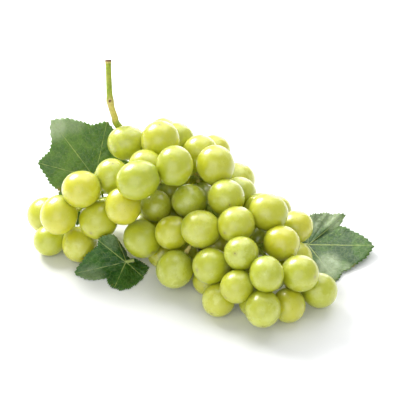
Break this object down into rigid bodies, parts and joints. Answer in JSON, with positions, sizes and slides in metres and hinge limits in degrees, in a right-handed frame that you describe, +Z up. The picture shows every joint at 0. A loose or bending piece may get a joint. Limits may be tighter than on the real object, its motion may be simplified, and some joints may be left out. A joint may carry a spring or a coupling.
{
  "type": "bunch of grapes",
  "caption": "Bunch of round white grapes on a branched green stalk, lying on its side with vine leaves tucked under it.",
  "frame": {"origin": "middle of the underside of the whole object's box, on the surface that the bunch lies on", "axes": "+X along the bunch from its stalk to its tip, +Z up, the side that the leaf at the front lies on toward -Y"},
  "size_m": [0.2164, 0.1586, 0.1078],
  "materials": {
    "stalk": "matt green stalk, brown at its cut end and knuckle",
    "berry_skin": "smooth translucent yellow-green skin with a thin bloom",
    "leaf": "satin green leaf with paler veins"
  },
  "bodies": {
    "root": {"stalk": "stalk", "berries": "berry_skin", "leaf_back": "leaf", "leaf_front": "leaf", "leaf_side": "leaf"}
  },
  "joints": []
}
